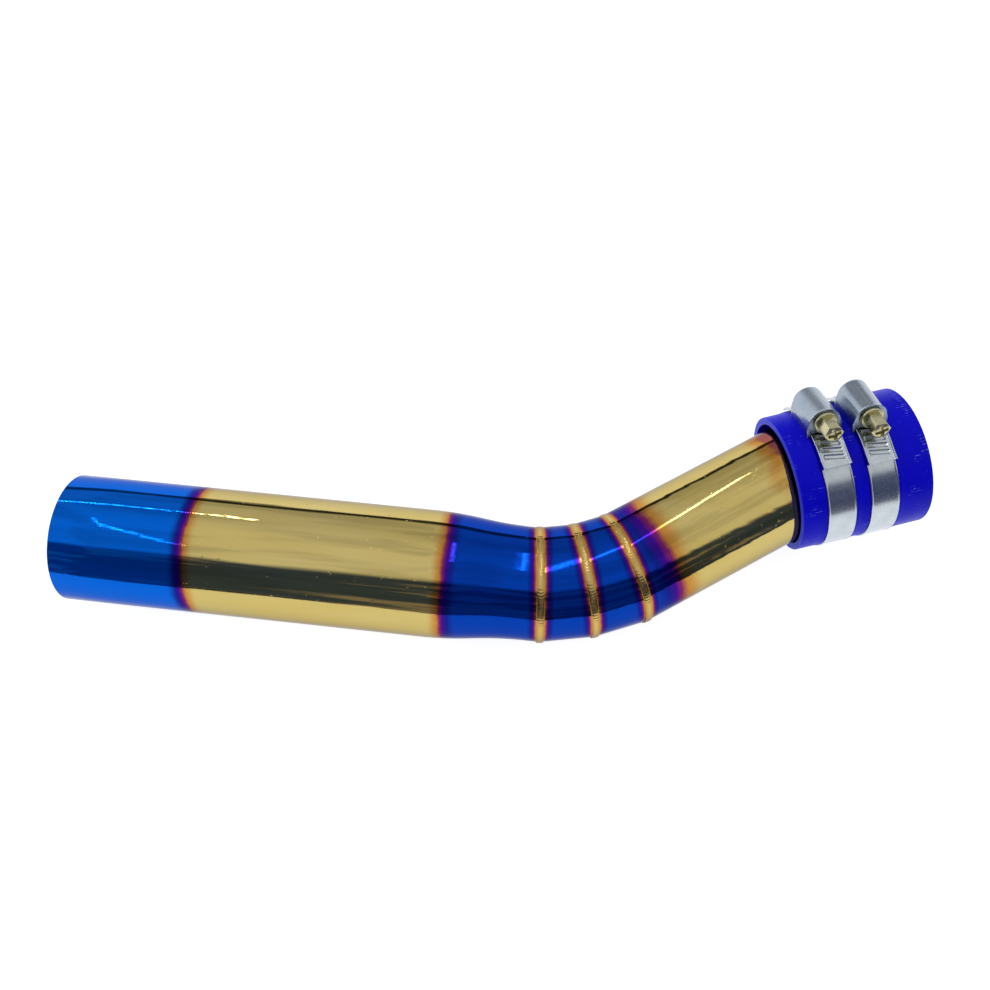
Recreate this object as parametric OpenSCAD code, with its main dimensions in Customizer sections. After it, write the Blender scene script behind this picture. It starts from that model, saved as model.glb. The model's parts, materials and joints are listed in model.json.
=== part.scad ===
// Mitred exhaust link pipe with a silicone coupler and two worm-drive hose clamps.
// The inlet end of the pipe is centred on the origin, the straight run lies along +X,
// the mitred bend turns towards +Y, and +Z is up. All sizes are in millimetres.

/* [Pipe] */
// Outside diameter of the straight run
pipe_od = 54; // [50:0.5:65]
// Outside diameter of the necked-down part, which the bend and the outlet share
outlet_od = 48; // [40:0.5:49]
// Wall of every piece of pipe
pipe_wall = 1.5; // [1:0.1:2.5]
// Length of the straight run, from the inlet edge to the middle of the first weld
inlet_len = 200; // [120:1:300]
// Length of the cone between the two diameters
cone_len = 38.5; // [20:0.5:60]
// Plain neck between the cone and the first weld
neck_len = 6.5; // [5:0.5:20]
// Length of the outlet pipe from the last weld to the mouth of the coupler
outlet_reach = 78; // [50:0.5:140]

/* [Mitred bend] */
// Turn at each of the welds
mitre_turn = 11.5; // [5:0.5:15]
// Length of each bend wedge along its centreline
wedge_len = 18.4; // [14:0.2:40]
// Root gap between two pieces, filled by the weld
weld_gap = 0.8; // [0.4:0.1:1.5]
// Width of the weld cap
weld_width = 3.2; // [2:0.1:5]
// Height of the weld cap above the pipe
weld_height = 0.6; // [0.3:0.1:1]

/* [Coupler] */
// Length of the silicone coupler
hose_len = 55; // [50:0.5:90]
// Bore of the coupler's free end
hose_bore = 51; // [46:0.5:56]
// Thickness of the smooth inner liner
liner_thick = 0.8; // [0.6:0.1:1.5]
// Thickness of the woven ply
ply_thick = 0.8; // [0.6:0.1:1.5]
// Thickness of the outer cover
cover_thick = 1.4; // [1.2:0.1:3]
// Depth that the middle of the pipe's end reaches into the coupler
hose_overlap = 14; // [8:0.5:15]
// Sideways lean of the coupler on the pipe
hose_yaw = 15.5; // [4:0.1:18]
// Upward lean of the coupler on the pipe
hose_pitch = 3.8; // [0:0.1:6]
// Height of the soft bulge on each side of a band
hose_bulge = 0.3; // [0.1:0.05:0.4]

/* [Clamps] */
// Width of the band
band_width = 11.7; // [9:0.1:13]
// Thickness of the band
band_thick = 0.8; // [0.6:0.05:1]
// Height of the turned-up edges of the band
band_lip = 0.25; // [0.1:0.05:0.3]
// Distance from the coupler's mouth to the first band
first_band = 10.5; // [6:0.5:12]
// Distance between the two bands
band_gap = 6.4; // [5:0.1:12]
// Angle of the first housing around the coupler, positive towards -Y
housing_angle_1 = -31.5; // [-90:1:90]
// Angle of the second housing around the coupler, positive towards -Y
housing_angle_2 = -27; // [-90:1:90]
// Length of the housing along the screw
housing_len = 19; // [15:0.5:20]
// Sheet thickness of the housing
housing_thick = 0.9; // [0.7:0.1:1]
// Width of the shoulder on each side of the housing's round top
housing_shoulder = 0.65; // [0:0.05:0.9]
// Radius of the worm over its thread
worm_r = 4.2; // [4:0.1:5]
// Pitch of the worm and of the band's grooves
worm_pitch = 3; // [2.6:0.1:3.4]
// Width across the flats of the hexagon head
hex_flats = 7; // [6.5:0.1:8.5]
// Length of the hexagon head
hex_len = 8; // [4:0.5:9]
// Length of the threaded end that shows past the housing
tail_show = 12.5; // [8:0.5:16]

/* [Clearances] */
// Least gap between the leaning pipe and the stretched mouth of the coupler
mouth_gap = 0.5; // [0.3:0.05:1]
// Radial gap between pieces that slide on each other
slide_gap = 0.3; // [0.3:0.05:0.4]
// Radial clearance of the screw in the housing's end walls
screw_fit = 0.05; // [0.02:0.01:0.1]

/* [Hidden] */
$fn = 96;
cut = 1;
block = 80;

// Pipe
pipe_r = pipe_od / 2;
outlet_r = outlet_od / 2;
cone_end = inlet_len - neck_len;
cone_start = cone_end - cone_len;
cone_steps = 8;
// How far the cone's slope swings from straight to softened ends
cone_ease = 0.6;
// Height of the weld's root inside the pipe
root_proud = 0.2;
// How far the weld cap is sunk into the pipe before the pipes are cut out of it
weld_sink = 0.1;

// Coupler: its direction as seen from the outlet pipe, and the lean between the two
hose_dir = [
    cos(hose_pitch) * cos(hose_yaw),
    -cos(hose_pitch) * sin(hose_yaw),
    sin(hose_pitch)
];
lean = acos(hose_dir[0]);
lean_dir = ([1, 0, 0] - hose_dir * cos(lean)) / sin(lean);
// Sideways shift that leaves the same gap on both sides of the leaning pipe
hose_shift = (hose_overlap * tan(lean) - outlet_r * (1 / cos(lean) - cos(lean))) / 2;
hose_mouth = [outlet_reach, 0, 0] + hose_shift * lean_dir;
outlet_len = outlet_reach + hose_overlap / cos(lean);
bore_r = hose_bore / 2;
// The mouth is stretched wide enough for the leaning pipe, as deep as the pipe's lowest edge
mouth_r = (outlet_r / cos(lean) + outlet_r * cos(lean) + hose_overlap * tan(lean)) / 2 + mouth_gap;
mouth_spare = 1.5;
mouth_len = hose_overlap + outlet_r * sin(lean) + mouth_spare;
mouth_step = 2;
ply_r = max(mouth_r, bore_r) + liner_thick;
cover_r = ply_r + ply_thick;
hose_r = cover_r + cover_thick;
groove_deep = 0.6;
end_round = 0.4;
// Part of the cover between the bands that each bulge takes up
bulge_share = 0.45;
bulge_len = (band_gap - 2 * slide_gap) * bulge_share;
bulge_steps = 4;

// Clamps, in the frame of one clamp: X along the coupler, Z through the housing, screw head at -Y
band_x = [first_band + band_width / 2, first_band + band_width * 3 / 2 + band_gap];
housing_angle = [housing_angle_1, housing_angle_2];
band_r = hose_r - groove_deep + slide_gap;
saddle_r = band_r + band_thick;
saddle_thick = 0.5;
tail_r = saddle_r + saddle_thick + slide_gap;
tail_top = tail_r + band_thick;
lip_width = 0.8;
// The worm dips a little into the grooves, and the grooves are deeper than it dips
worm_dip = 0.25;
groove_cut = 0.5;
screw_z = tail_top + worm_r - worm_dip;
mesh_r = tail_top - worm_dip;
groove_turn = worm_pitch / mesh_r * 180 / PI;
thread_deep = 0.8;
// The thread starts a little inside the worm's core
thread_sink = 0.2;
// Plain core left at each end of the thread
thread_inset = 1;
thread_crest = 0.9;
thread_root = 1.6;
groove_width = 1.8;
groove_len = 7.4;
lead_angle = atan(worm_pitch / (2 * PI * worm_r));
worm_turn_steps = 24;
// Housing: half its length, half its outer width, and the radius and middle of its round top
wall_y = housing_len / 2;
housing_half = band_width / 2 + slide_gap + housing_thick;
top_gap = 0.35;
top_r = max(housing_half - housing_shoulder, worm_r + top_gap + housing_thick);
top_z = screw_z + worm_r + top_gap + housing_thick - top_r;
shoulder_drop = 2.5;
shoulder_z = screw_z - shoulder_drop;
foot_reach = 0.1;
lip_len = 0.9;
lip_out = 0.45;
neck_r = 3.2;
pilot_r = 2.6;
// The collar is wider than the hexagon, and stays clear of the band's free end below it
collar_over = 0.8;
collar_room = screw_z - sqrt(pow(tail_top, 2) - pow(wall_y, 2)) - slide_gap;
collar_r = min(hex_flats / sqrt(3) + collar_over, collar_room);
collar_len = 1.6;
recess_width = 1.5;
recess_len = 5.4;
recess_deep = 1.8;
head_chamfer = 0.7;
rivet_r = 1;
rivet_x = 3.4;
// Place of the rivets between the saddle's middle and its ends
rivet_spread = 0.6;
rivet_recess = 0.1;
rivet_cut = 0.05;
// Angles along the band, positive from the housing towards the screw head
saddle_margin = 0.6;
saddle_half = asin(wall_y / saddle_r) - saddle_margin;
band_end = 250;
tail_start = -140;
tail_end = asin(wall_y / tail_r) + tail_show / tail_r * 180 / PI;
// The pressed part of the band: grooves from behind the housing up to its free end
groove_first = -8;
groove_margin = 0.6;
groove_last = floor(tail_end / groove_turn - groove_margin);

// Directions and places along the pipe
function turned(a) = [cos(a), sin(a), 0];
function mitre_at(i) = [inlet_len, 0, 0] + (i > 0 ? wedge_len * turned(mitre_turn) : [0, 0, 0])
    + (i > 1 ? wedge_len * turned(2 * mitre_turn) : [0, 0, 0]);
// Distance of a mitre face from its middle, along the pipe, at a sideways place y
function mitre_face(y) = (weld_gap / 2 + y * sin(mitre_turn / 2)) / cos(mitre_turn / 2);
// Radius of the necked pipe's outside at fraction t of the cone
function cone_radius(t) = pipe_r + (outlet_r - pipe_r) * (t - cone_ease * sin(360 * t) / (2 * PI));

// Puts an upright turned shape along +X
module along_x() rotate([0, 90, 0]) children();

// The frame of the pipe after the given number of mitres
module after_mitre(i) {
    translate(mitre_at(i - 1))
        rotate([0, 0, i * mitre_turn])
            children();
}

// Space between a start face and an end face, each plain (false) or mitred (true)
module between_faces(x0, mitred_0, x1, mitred_1) {
    linear_extrude(height = 2 * block, center = true)
        polygon([
            [x0 + (mitred_0 ? mitre_face(-block) : 0), -block],
            [x1 - (mitred_1 ? mitre_face(-block) : 0), -block],
            [x1 - (mitred_1 ? mitre_face(block) : 0), block],
            [x0 + (mitred_0 ? mitre_face(block) : 0), block]
        ]);
}

module plain_pipe(x0, x1) {
    translate([x0, 0, 0])
        along_x()
            difference() {
                cylinder(r = outlet_r, h = x1 - x0);
                translate([0, 0, -cut])
                    cylinder(r = outlet_r - pipe_wall, h = x1 - x0 + 2 * cut);
            }
}

module inlet_shape() {
    outer = [for (i = [0:cone_steps]) [cone_radius(i / cone_steps), cone_start + cone_len * i / cone_steps]];
    profile = concat([[pipe_r, 0]], outer, [[outlet_r, inlet_len + outlet_r]]);
    inner = [for (p = profile) [p[0] - pipe_wall, p[1]]];
    count = len(inner);
    back = [for (i = [1:count]) inner[count - i]];
    intersection() {
        along_x()
            rotate_extrude()
                polygon(concat(profile, back));
        between_faces(-cut, false, inlet_len, true);
    }
}

module pie_cut_shape() {
    intersection() {
        plain_pipe(-outlet_r, wedge_len + outlet_r);
        between_faces(0, true, wedge_len, true);
    }
}

module outlet_shape() {
    intersection() {
        plain_pipe(-outlet_r, outlet_len);
        between_faces(0, true, outlet_len + cut, false);
    }
}

module inlet_tube() color("goldenrod") inlet_shape();
module pie_cut_1() color("royalblue") after_mitre(1) pie_cut_shape();
module pie_cut_2() color("royalblue") after_mitre(2) pie_cut_shape();
module outlet_tube() color("goldenrod") after_mitre(3) outlet_shape();

// A rounded weld cap with its root in the gap, before the pipes are cut out of it
module weld_ring() {
    half = weld_width / 2;
    base_r = outlet_r - weld_sink;
    rise = weld_height + weld_sink;
    cap = [for (a = [-90:22.5:90]) [base_r + rise * cos(a), half * sin(a)]];
    root_r = outlet_r - pipe_wall - root_proud;
    along_x()
        rotate_extrude()
            polygon(concat([[root_r, -weld_gap], [base_r, -weld_gap]], cap,
                [[base_r, weld_gap], [root_r, weld_gap]]));
}

module weld_bead(i) {
    difference() {
        translate(mitre_at(i - 1))
            rotate([0, 0, (i - 0.5) * mitre_turn])
                weld_ring();
        if (i == 1) inlet_shape();
        if (i > 1) after_mitre(i - 1) pie_cut_shape();
        if (i < 3) after_mitre(i) pie_cut_shape();
        if (i == 3) after_mitre(3) outlet_shape();
    }
}

module weld_bead_1() color("gold") weld_bead(1);
module weld_bead_2() color("gold") weld_bead(2);
module weld_bead_3() color("gold") weld_bead(3);

// The frame of the coupler: its mouth is at the origin and it runs along +X
module in_hose() {
    after_mitre(3)
        translate(hose_mouth)
            rotate([0, -hose_pitch, -hose_yaw])
                children();
}

module sleeve(inner, outer) {
    along_x()
        difference() {
            cylinder(r = outer, h = hose_len);
            translate([0, 0, -cut])
                cylinder(r = inner, h = hose_len + 2 * cut);
        }
}

// Outside of the cover beside a band, from the band's edge outwards
function bulge(x, side) = [
    for (i = [0:bulge_steps])
        [hose_r + hose_bulge * pow(cos(90 * i / bulge_steps), 2), x + side * bulge_len * i / bulge_steps]
];
function reversed(list) = [for (i = [1:len(list)]) list[len(list) - i]];
function band_seat(x) = let (half = band_width / 2 + slide_gap) concat(
    reversed(bulge(x - half, -1)),
    [[hose_r - groove_deep, x - half], [hose_r - groove_deep, x + half]],
    bulge(x + half, 1)
);

module hose_liner() {
    color("midnightblue")
        in_hose()
            along_x()
                rotate_extrude()
                    polygon([
                        [mouth_r, 0], [mouth_r, mouth_len], [bore_r, mouth_len + mouth_step],
                        [bore_r, hose_len], [ply_r, hose_len], [ply_r, 0]
                    ]);
}

module hose_ply() color("navy") in_hose() sleeve(ply_r, cover_r);
module hose_cover() {
    outer = concat(
        [[hose_r - end_round, 0], [hose_r, end_round]],
        band_seat(band_x[0]),
        band_seat(band_x[1]),
        [[hose_r, hose_len - end_round], [hose_r - end_round, hose_len]]
    );
    color("blue")
        in_hose()
            along_x()
                rotate_extrude()
                    polygon(concat(outer, [[cover_r, hose_len], [cover_r, 0]]));
}

// The frame of a clamp: X along the coupler, +Z through the housing, screw head towards -Y
module in_clamp(i) {
    in_hose()
        translate([band_x[i - 1], 0, 0])
            rotate([housing_angle[i - 1], 0, 0])
                children();
}

// A strip bent around the coupler between two angles, from its profile of radius and X
module bent_strip(from, to, profile) {
    rotate([from, 0, 0])
        rotate([0, -90, 180])
            rotate_extrude(angle = to - from)
                polygon(profile);
}

function flat_profile(r0, r1, half) = [[r0, -half], [r1, -half], [r1, half], [r0, half]];
// A flat strip with turned-up edges
function lipped_profile(r0, half) = let (r1 = r0 + band_thick, lip = half - lip_width) [
    [r0, -half], [r1 + band_lip, -half], [r1 + band_lip, -lip - lip_width / 2], [r1, -lip],
    [r1, lip], [r1 + band_lip, lip + lip_width / 2], [r1 + band_lip, half], [r0, half]
];

module rivet_places() {
    for (a = [-1, 1], x = [-1, 1])
        rotate([a * saddle_half * rivet_spread, 0, 0])
            translate([x * rivet_x, 0, 0])
                children();
}

module rivet(extra) {
    translate([0, 0, band_r - extra])
        cylinder(r = rivet_r, h = saddle_r + saddle_thick - band_r - rivet_recess + 2 * extra, $fn = 32);
}

module band() {
    difference() {
        union() {
            bent_strip(-saddle_half, saddle_half, flat_profile(band_r, saddle_r, band_width / 2));
            bent_strip(saddle_half, band_end, lipped_profile(band_r, band_width / 2));
        }
        rivet_places() rivet(rivet_cut);
    }
}

module saddle() {
    difference() {
        bent_strip(-saddle_half, saddle_half,
            flat_profile(saddle_r, saddle_r + saddle_thick, band_width / 2 + slide_gap));
        rivet_places() rivet(rivet_cut);
    }
}

module band_tail() {
    difference() {
        bent_strip(tail_start, tail_end, lipped_profile(tail_r, band_width / 2));
        for (k = [groove_first:groove_last])
            rotate([k * groove_turn, 0, 0])
                translate([0, 0, tail_top - groove_cut])
                    rotate([0, 0, lead_angle])
                        translate([-groove_len / 2, -groove_width / 2, 0])
                            cube([groove_len, groove_width, cut]);
    }
}

// Outline of the housing across the screw, grown outwards by the given amount
function housing_outline(grow) = concat(
    [[housing_half + grow, 0], [housing_half + grow, shoulder_z]],
    [for (a = [10:10:170]) [(top_r + grow) * cos(a), top_z + (top_r + grow) * sin(a)]],
    [[-housing_half - grow, shoulder_z], [-housing_half - grow, 0]]
);

// A bar along the screw, with the given outline across it
module along_screw(y0, y1, outline) {
    translate([0, y1, 0])
        rotate([90, 0, 0])
            linear_extrude(height = y1 - y0)
                polygon(outline);
}

module around_coupler(r) {
    translate([-block / 2, 0, 0])
        along_x()
            cylinder(r = r, h = block);
}

module housing() {
    difference() {
        union() {
            along_screw(-wall_y, wall_y, housing_outline(0));
            intersection() {
                along_screw(-wall_y, -wall_y + lip_len, housing_outline(lip_out));
                translate([-block / 2, -block / 2, shoulder_z])
                    cube([block, block, block]);
            }
        }
        around_coupler(saddle_r - foot_reach);
        // Passage of the saddle and the band's free end
        intersection() {
            around_coupler(tail_top + band_lip + slide_gap);
            translate([-housing_half + housing_thick, -block / 2, 0])
                cube([2 * (housing_half - housing_thick), block, block]);
        }
        // Room for the worm between the end walls
        intersection() {
            along_screw(-wall_y + housing_thick, wall_y - housing_thick, housing_outline(-housing_thick));
            translate([-block / 2, -block / 2, screw_z - worm_r - slide_gap])
                cube([block, block, block]);
        }
        translate([0, 0, screw_z])
            rotate([90, 0, 0])
                cylinder(r = neck_r + screw_fit, h = wall_y + cut);
        translate([0, 0, screw_z])
            rotate([-90, 0, 0])
                cylinder(r = pilot_r + screw_fit, h = wall_y + cut);
    }
}

// One helical thread; its crest points at the band in the middle of the housing
module worm_thread(len) {
    crest_half = 180 * thread_crest / worm_pitch;
    root_half = 180 * thread_root / worm_pitch;
    root_r = worm_r - thread_deep - thread_sink;
    turns = len / worm_pitch;
    translate([0, -len / 2, 0])
        rotate([-90, 0, 0])
            rotate([0, 0, -180 * turns])
                linear_extrude(height = len, twist = -360 * turns, slices = ceil(turns * worm_turn_steps), $fn = 8)
                    polygon(concat(
                        [for (a = [-1:0.5:1]) worm_r * [sin(a * crest_half), cos(a * crest_half)]],
                        [for (a = [1:-0.5:-1]) root_r * [sin(a * root_half), cos(a * root_half)]]
                    ));
}

module cross_recess() {
    for (a = [0, 90])
        rotate([0, 0, a])
            translate([-recess_len / 2, -recess_width / 2, hex_len - recess_deep])
                cube([recess_len, recess_width, recess_deep + cut]);
}

module hex_head() {
    corner_r = hex_flats / sqrt(3);
    difference() {
        intersection() {
            cylinder(r = corner_r, h = hex_len, $fn = 6);
            rotate_extrude()
                polygon([
                    [0, 0], [corner_r + cut, 0], [corner_r + cut, hex_len - head_chamfer - cut],
                    [corner_r - head_chamfer, hex_len], [0, hex_len]
                ]);
        }
        cross_recess();
    }
}

module worm_screw() {
    inside_y = wall_y - housing_thick - slide_gap;
    collar_y = wall_y + slide_gap;
    translate([0, 0, screw_z]) {
        worm_thread(2 * (inside_y - thread_inset));
        rotate([90, 0, 0]) {
            translate([0, 0, -inside_y])
                cylinder(r = worm_r - thread_deep, h = 2 * inside_y);
            translate([0, 0, -wall_y])
                cylinder(r = pilot_r, h = wall_y);
            cylinder(r = neck_r, h = collar_y);
            translate([0, 0, collar_y])
                cylinder(r = collar_r, h = collar_len);
            translate([0, 0, collar_y + collar_len])
                hex_head();
        }
    }
}

module saddle_rivets() rivet_places() rivet(0);

module band_1() color("silver") in_clamp(1) band();
module band_tail_1() color("lightgray") in_clamp(1) band_tail();
module saddle_1() color("gray") in_clamp(1) saddle();
module saddle_rivets_1() color("dimgray") in_clamp(1) saddle_rivets();
module housing_1() color("lightsteelblue") in_clamp(1) housing();
module worm_screw_1() color("darkkhaki") in_clamp(1) worm_screw();
module band_2() color("silver") in_clamp(2) band();
module band_tail_2() color("lightgray") in_clamp(2) band_tail();
module saddle_2() color("gray") in_clamp(2) saddle();
module saddle_rivets_2() color("dimgray") in_clamp(2) saddle_rivets();
module housing_2() color("lightsteelblue") in_clamp(2) housing();
module worm_screw_2() color("darkkhaki") in_clamp(2) worm_screw();

inlet_tube();
weld_bead_1();
pie_cut_1();
weld_bead_2();
pie_cut_2();
weld_bead_3();
outlet_tube();
hose_liner();
hose_ply();
hose_cover();
band_1();
band_tail_1();
saddle_1();
saddle_rivets_1();
housing_1();
worm_screw_1();
band_2();
band_tail_2();
saddle_2();
saddle_rivets_2();
housing_2();
worm_screw_2();
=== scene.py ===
import bpy
import json
import math
from mathutils import Matrix, Vector, noise


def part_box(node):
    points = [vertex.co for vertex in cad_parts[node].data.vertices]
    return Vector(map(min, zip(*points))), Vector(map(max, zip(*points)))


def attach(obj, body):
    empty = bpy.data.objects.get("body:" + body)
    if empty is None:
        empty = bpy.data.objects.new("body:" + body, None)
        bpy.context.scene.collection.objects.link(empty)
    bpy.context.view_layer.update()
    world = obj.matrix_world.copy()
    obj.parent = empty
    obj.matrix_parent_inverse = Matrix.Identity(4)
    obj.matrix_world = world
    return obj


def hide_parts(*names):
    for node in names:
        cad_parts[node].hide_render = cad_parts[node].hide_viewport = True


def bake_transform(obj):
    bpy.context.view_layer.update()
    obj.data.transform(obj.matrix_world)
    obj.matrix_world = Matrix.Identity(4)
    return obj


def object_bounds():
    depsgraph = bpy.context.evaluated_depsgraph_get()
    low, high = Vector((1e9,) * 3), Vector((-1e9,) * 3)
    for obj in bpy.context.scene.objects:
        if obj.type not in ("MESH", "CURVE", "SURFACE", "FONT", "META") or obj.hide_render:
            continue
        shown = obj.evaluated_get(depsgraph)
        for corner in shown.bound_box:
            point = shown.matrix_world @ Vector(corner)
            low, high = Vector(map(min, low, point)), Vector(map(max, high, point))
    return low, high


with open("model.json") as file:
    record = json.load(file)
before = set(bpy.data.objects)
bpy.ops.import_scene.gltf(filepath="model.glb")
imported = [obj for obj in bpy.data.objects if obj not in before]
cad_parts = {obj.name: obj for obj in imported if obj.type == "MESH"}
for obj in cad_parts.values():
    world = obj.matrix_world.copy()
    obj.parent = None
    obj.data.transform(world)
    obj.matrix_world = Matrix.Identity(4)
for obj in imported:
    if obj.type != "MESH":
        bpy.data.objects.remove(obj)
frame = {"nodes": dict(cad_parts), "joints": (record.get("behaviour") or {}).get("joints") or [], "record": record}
cadLow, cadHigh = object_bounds()
nodes = frame["nodes"]
joints = {joint["name"]: joint for joint in frame["joints"]}
mounts = {mount["name"]: mount for mount in frame["record"]["mounts"]}
mm = 0.001
print("frame loaded")


def clearSelection():
    if bpy.context.object and bpy.context.object.mode != "OBJECT":
        bpy.ops.object.mode_set(mode="OBJECT")
    bpy.ops.object.select_all(action="DESELECT")


def pick(piece):
    clearSelection()
    piece.select_set(True)
    bpy.context.view_layer.objects.active = piece


def settle(piece, matrix):
    # puts the piece where it belongs and leaves its place in its mesh
    pick(piece)
    piece.matrix_world = matrix @ piece.matrix_world
    bpy.ops.object.transform_apply(location=True, rotation=True, scale=True)
    return piece


def outlinePiece(name, outline, fill):
    # draws a closed outline of (x, y, z) points in mm, by extruding one vertex
    clearSelection()
    bpy.ops.mesh.primitive_plane_add(size=mm)
    piece = bpy.context.object
    piece.name = name
    bpy.ops.object.mode_set(mode="EDIT")
    bpy.ops.mesh.select_all(action="SELECT")
    bpy.ops.mesh.merge(type="CENTER")
    here = Vector((0, 0, 0))
    for index, point in enumerate(list(outline) + [outline[0]]):
        step = Vector(point) * mm - here
        if index == 0:
            bpy.ops.transform.translate(value=step)
        else:
            bpy.ops.mesh.extrude_region_move(TRANSFORM_OT_translate={"value": step})
        here += step
    bpy.ops.mesh.select_all(action="SELECT")
    bpy.ops.mesh.remove_doubles(threshold=1e-6)
    if fill:
        bpy.ops.mesh.edge_face_add()
    return piece


def closeShell():
    bpy.ops.mesh.select_all(action="SELECT")
    bpy.ops.mesh.remove_doubles(threshold=2e-6)
    bpy.ops.mesh.normals_make_consistent(inside=False)
    bpy.ops.object.mode_set(mode="OBJECT")


def spunPiece(name, profile, steps, start=0.0, sweep=360.0):
    # spins a closed outline of (x, radius) points round X; angles grow from +Z towards -Y
    whole = sweep >= 360
    piece = outlinePiece(name, [(x, 0, r) for x, r in profile], not whole)
    bpy.ops.mesh.select_all(action="SELECT")
    bpy.ops.mesh.spin(steps=steps, angle=math.radians(sweep), center=(0, 0, 0), axis=(1, 0, 0))
    closeShell()
    if start:
        settle(piece, Matrix.Rotation(math.radians(start), 4, "X"))
    return piece


def shapeVertices(piece, move):
    for vertex in piece.data.vertices:
        vertex.co = move(vertex.co)
    piece.data.update()


def applyModifier(piece, kind, **settings):
    pick(piece)
    bpy.ops.object.modifier_add(type=kind)
    made = piece.modifiers[-1]
    for key, value in settings.items():
        setattr(made, key, value)
    bpy.ops.object.modifier_apply(modifier=made.name)


def carve(piece, tool, operation="DIFFERENCE"):
    applyModifier(piece, "BOOLEAN", object=tool, operation=operation, solver="EXACT")
    bpy.data.objects.remove(tool)


def smoothPiece(piece, angle=32):
    pick(piece)
    bpy.ops.object.shade_smooth_by_angle(angle=math.radians(angle))


def dress(piece, material, body, slot, *standsFor):
    piece.data.materials.clear()
    piece.data.materials.append(material)
    if body:
        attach(piece, body)
    if standsFor:
        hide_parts(*standsFor)
    return piece


def arc(x, r, radius, first, last, count):
    # points on a small arc in the (x, radius) plane
    turns = [math.radians(first + (last - first) * i / count) for i in range(count + 1)]
    return [(x + radius * math.cos(a), r + radius * math.sin(a)) for a in turns]


def stations(node, origin, axis):
    # (distance along the axis, radius) of a CAD node's corners, in mm
    found = []
    for vertex in nodes[node].data.vertices:
        offset = vertex.co - origin
        along = offset.dot(axis)
        found.append((along / mm, (offset - along * axis).length / mm))
    return found


# the camera stands at the front and above, a little to the left of the bend
view = {
    "place": (0.19974, -0.10553, 0.39797),
    "aim": (0.17707, 0.03795, 0.0),
    "roll": 2.81,
    "lens": 35.29,
    "sensor": 36.0,
    "clip": (0.01, 20),
    "exposure": 0.0,
}
bpy.ops.object.camera_add(location=view["place"])
camera = bpy.context.object
look = Vector(view["aim"]) - Vector(view["place"])
camera.rotation_mode = "QUATERNION"
tilt = Matrix.Rotation(-math.radians(view["roll"]), 4, "Z").to_quaternion()
camera.rotation_quaternion = look.to_track_quat("-Z", "Y") @ tilt
camera.data.lens = view["lens"]
camera.data.sensor_width = view["sensor"]
camera.data.clip_start, camera.data.clip_end = view["clip"]
bpy.context.scene.camera = camera
bpy.context.scene.view_settings.view_transform = "Standard"
bpy.context.scene.view_settings.exposure = view["exposure"]


class Wire:
    # a value inside a node tree that can be used in sums
    def __init__(self, desk, socket):
        self.desk, self.socket = desk, socket

    def work(self, operation, first, second=0.0):
        return self.desk.node("ShaderNodeMath", {"operation": operation}, {0: first, 1: second})

    def __add__(self, other):
        return self.work("ADD", self, other)

    def __radd__(self, other):
        return self.work("ADD", other, self)

    def __sub__(self, other):
        return self.work("SUBTRACT", self, other)

    def __rsub__(self, other):
        return self.work("SUBTRACT", other, self)

    def __mul__(self, other):
        return self.work("MULTIPLY", self, other)

    def __rmul__(self, other):
        return self.work("MULTIPLY", other, self)

    def low(self, other):
        return self.work("MINIMUM", self, other)

    def high(self, other):
        return self.work("MAXIMUM", self, other)

    def size(self):
        return self.work("ABSOLUTE", self)


class Desk:
    # builds one node tree
    def __init__(self, tree):
        self.tree = tree

    def node(self, kind, settings={}, values={}, output=0):
        made = self.tree.nodes.new(kind)
        for key, value in settings.items():
            if key == "stops":
                self.setStops(made.color_ramp, value)
            else:
                setattr(made, key, value)
        for key, value in values.items():
            if isinstance(value, Wire):
                self.tree.links.new(value.socket, made.inputs[key])
            else:
                made.inputs[key].default_value = value
        return Wire(self, made.outputs[output])

    def setStops(self, ramp, stops):
        while len(ramp.elements) < len(stops):
            ramp.elements.new(1.0)
        for element, (place, colour) in zip(ramp.elements, stops):
            element.position = place
            element.color = (*colour, 1) if len(colour) == 3 else colour

    def ramp(self, factor, stops):
        return self.node("ShaderNodeValToRGB", {"stops": stops}, {"Fac": factor})

    def step(self, value, low, high, first=0.0, last=1.0):
        # rises smoothly from first to last as value goes from low to high
        return self.node("ShaderNodeMapRange", {"interpolation_type": "SMOOTHSTEP"},
                         {"Value": value, "From Min": low, "From Max": high, "To Min": first, "To Max": last})

    def blend(self, factor, first, second):
        return self.node("ShaderNodeMix", {"data_type": "RGBA"}, {0: factor, 6: first, 7: second}, output=2)

    def along(self, vector, direction):
        return self.node("ShaderNodeVectorMath", {"operation": "DOT_PRODUCT"},
                         {0: vector, 1: direction}, output=1)

    def stretch(self, vector, scale):
        return self.node("ShaderNodeVectorMath", {"operation": "MULTIPLY"}, {0: vector, 1: scale})

    def grain(self, vector, scale, detail=3.0):
        return self.node("ShaderNodeTexNoise", {}, {
            "Vector": vector, "Scale": scale, "Detail": detail, "Roughness": 0.55})


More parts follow.
